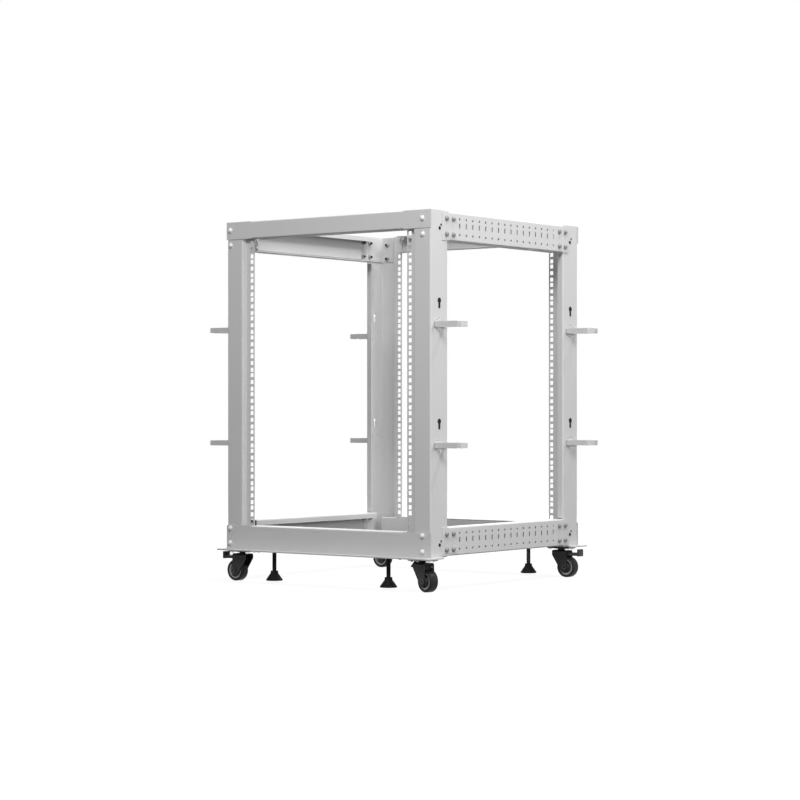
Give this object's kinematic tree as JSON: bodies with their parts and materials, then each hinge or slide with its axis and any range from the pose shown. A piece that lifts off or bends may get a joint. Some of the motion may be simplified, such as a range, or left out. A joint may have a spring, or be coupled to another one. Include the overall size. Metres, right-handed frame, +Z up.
{
  "type": "open-frame rack",
  "caption": "Open four-post equipment rack of folded grey sheet steel with square-hole flanges, drilled side rails, cable hooks, swivel casters and levelling feet.",
  "frame": {"origin": "on the floor under the middle of the frame", "axes": "+X to the right seen from the front, +Y to the rear, +Z up"},
  "size_m": [0.727, 0.654, 0.846],
  "materials": {
    "grey_powder_coat": "satin",
    "caster_metal": "satin",
    "bright_zinc": "bright",
    "wheel_plastic": "satin",
    "tyre_rubber": "matte",
    "black_foot": "matte"
  },
  "bodies": {
    "frame": {"post_front_right": "grey_powder_coat", "post_front_left": "grey_powder_coat", "post_rear_right": "grey_powder_coat", "post_rear_left": "grey_powder_coat", "top_rail_front": "grey_powder_coat", "top_rail_rear": "grey_powder_coat", "bottom_rail_front": "grey_powder_coat", "bottom_rail_rear": "grey_powder_coat", "side_rail_top_left": "grey_powder_coat", "side_rail_top_right": "grey_powder_coat", "side_rail_bottom_left": "grey_powder_coat", "side_rail_bottom_right": "grey_powder_coat", "rail_liners_top": "grey_powder_coat", "rail_liners_bottom": "grey_powder_coat", "corner_brackets_top": "grey_powder_coat", "corner_brackets_bottom": "grey_powder_coat", "cable_hooks_front_right": "grey_powder_coat", "cable_hooks_front_left": "grey_powder_coat", "cable_hooks_rear_right": "grey_powder_coat", "cable_hooks_rear_left": "grey_powder_coat", "base_plate_front": "grey_powder_coat", "base_plate_rear": "grey_powder_coat", "caster_plates": "caster_metal"},
    "caster_swivel_front_right": {"caster_fork_front_right": "caster_metal", "caster_axle_front_right": "caster_metal"},
    "wheel_front_right": {"caster_wheel_front_right": "wheel_plastic", "caster_tyre_front_right": "tyre_rubber"},
    "foot_front_right": {"levelling_foot_front_right": "black_foot"},
    "caster_swivel_front_left": {"caster_fork_front_left": "caster_metal", "caster_axle_front_left": "caster_metal"},
    "wheel_front_left": {"caster_wheel_front_left": "wheel_plastic", "caster_tyre_front_left": "tyre_rubber"},
    "pedal_front_left": {"brake_pedal_front_left": "caster_metal"},
    "foot_front_left": {"levelling_foot_front_left": "black_foot"},
    "caster_swivel_rear_right": {"caster_fork_rear_right": "caster_metal", "caster_axle_rear_right": "caster_metal"},
    "wheel_rear_right": {"caster_wheel_rear_right": "wheel_plastic", "caster_tyre_rear_right": "tyre_rubber"},
    "pedal_rear_right": {"brake_pedal_rear_right": "caster_metal"},
    "foot_rear_right": {"levelling_foot_rear_right": "black_foot"},
    "caster_swivel_rear_left": {"caster_fork_rear_left": "caster_metal", "caster_axle_rear_left": "caster_metal"},
    "wheel_rear_left": {"caster_wheel_rear_left": "wheel_plastic", "caster_tyre_rear_left": "tyre_rubber"},
    "foot_rear_left": {"levelling_foot_rear_left": "black_foot"}
  },
  "joints": [
    {"name": "swivel_front_right", "type": "hinge", "parent": "frame", "child": "caster_swivel_front_right", "pos_m": [0.264, -0.281, 0.068], "axis": [0, 0, 1], "continuous": true},
    {"name": "wheel_spin_front_right", "type": "hinge", "parent": "caster_swivel_front_right", "child": "wheel_front_right", "pos_m": [0.28139, -0.28566, 0.025], "axis": [0.2588, 0.9659, 0], "continuous": true},
    {"name": "foot_screw_front_right", "type": "slide", "parent": "frame", "child": "foot_front_right", "axis": [0, 0, 1], "range_m": [-0.02, 0.02]},
    {"name": "swivel_front_left", "type": "hinge", "parent": "frame", "child": "caster_swivel_front_left", "pos_m": [-0.264, -0.281, 0.068], "axis": [0, 0, 1], "continuous": true},
    {"name": "wheel_spin_front_left", "type": "hinge", "parent": "caster_swivel_front_left", "child": "wheel_front_left", "pos_m": [-0.282, -0.281, 0.025], "axis": [0, 1, 0], "continuous": true},
    {"name": "foot_screw_front_left", "type": "slide", "parent": "frame", "child": "foot_front_left", "axis": [0, 0, 1], "range_m": [-0.02, 0.02]},
    {"name": "pedal_press_front_left", "type": "hinge", "parent": "caster_swivel_front_left", "child": "pedal_front_left", "pos_m": [-0.28, -0.281, 0.0555], "axis": [0, -1, 0], "range_deg": [0, 12]},
    {"name": "swivel_rear_right", "type": "hinge", "parent": "frame", "child": "caster_swivel_rear_right", "pos_m": [0.264, 0.281, 0.068], "axis": [0, 0, 1], "continuous": true},
    {"name": "wheel_spin_rear_right", "type": "hinge", "parent": "caster_swivel_rear_right", "child": "wheel_rear_right", "pos_m": [0.282, 0.281, 0.025], "axis": [0, 1, 0], "continuous": true},
    {"name": "foot_screw_rear_right", "type": "slide", "parent": "frame", "child": "foot_rear_right", "axis": [0, 0, 1], "range_m": [-0.02, 0.02]},
    {"name": "pedal_press_rear_right", "type": "hinge", "parent": "caster_swivel_rear_right", "child": "pedal_rear_right", "pos_m": [0.28, 0.281, 0.0555], "axis": [0, 1, 0], "range_deg": [0, 12]},
    {"name": "swivel_rear_left", "type": "hinge", "parent": "frame", "child": "caster_swivel_rear_left", "pos_m": [-0.264, 0.281, 0.068], "axis": [0, 0, 1], "continuous": true},
    {"name": "wheel_spin_rear_left", "type": "hinge", "parent": "caster_swivel_rear_left", "child": "wheel_rear_left", "pos_m": [-0.282, 0.281, 0.025], "axis": [0, 1, 0], "continuous": true},
    {"name": "foot_screw_rear_left", "type": "slide", "parent": "frame", "child": "foot_rear_left", "axis": [0, 0, 1], "range_m": [-0.02, 0.02]}
  ]
}
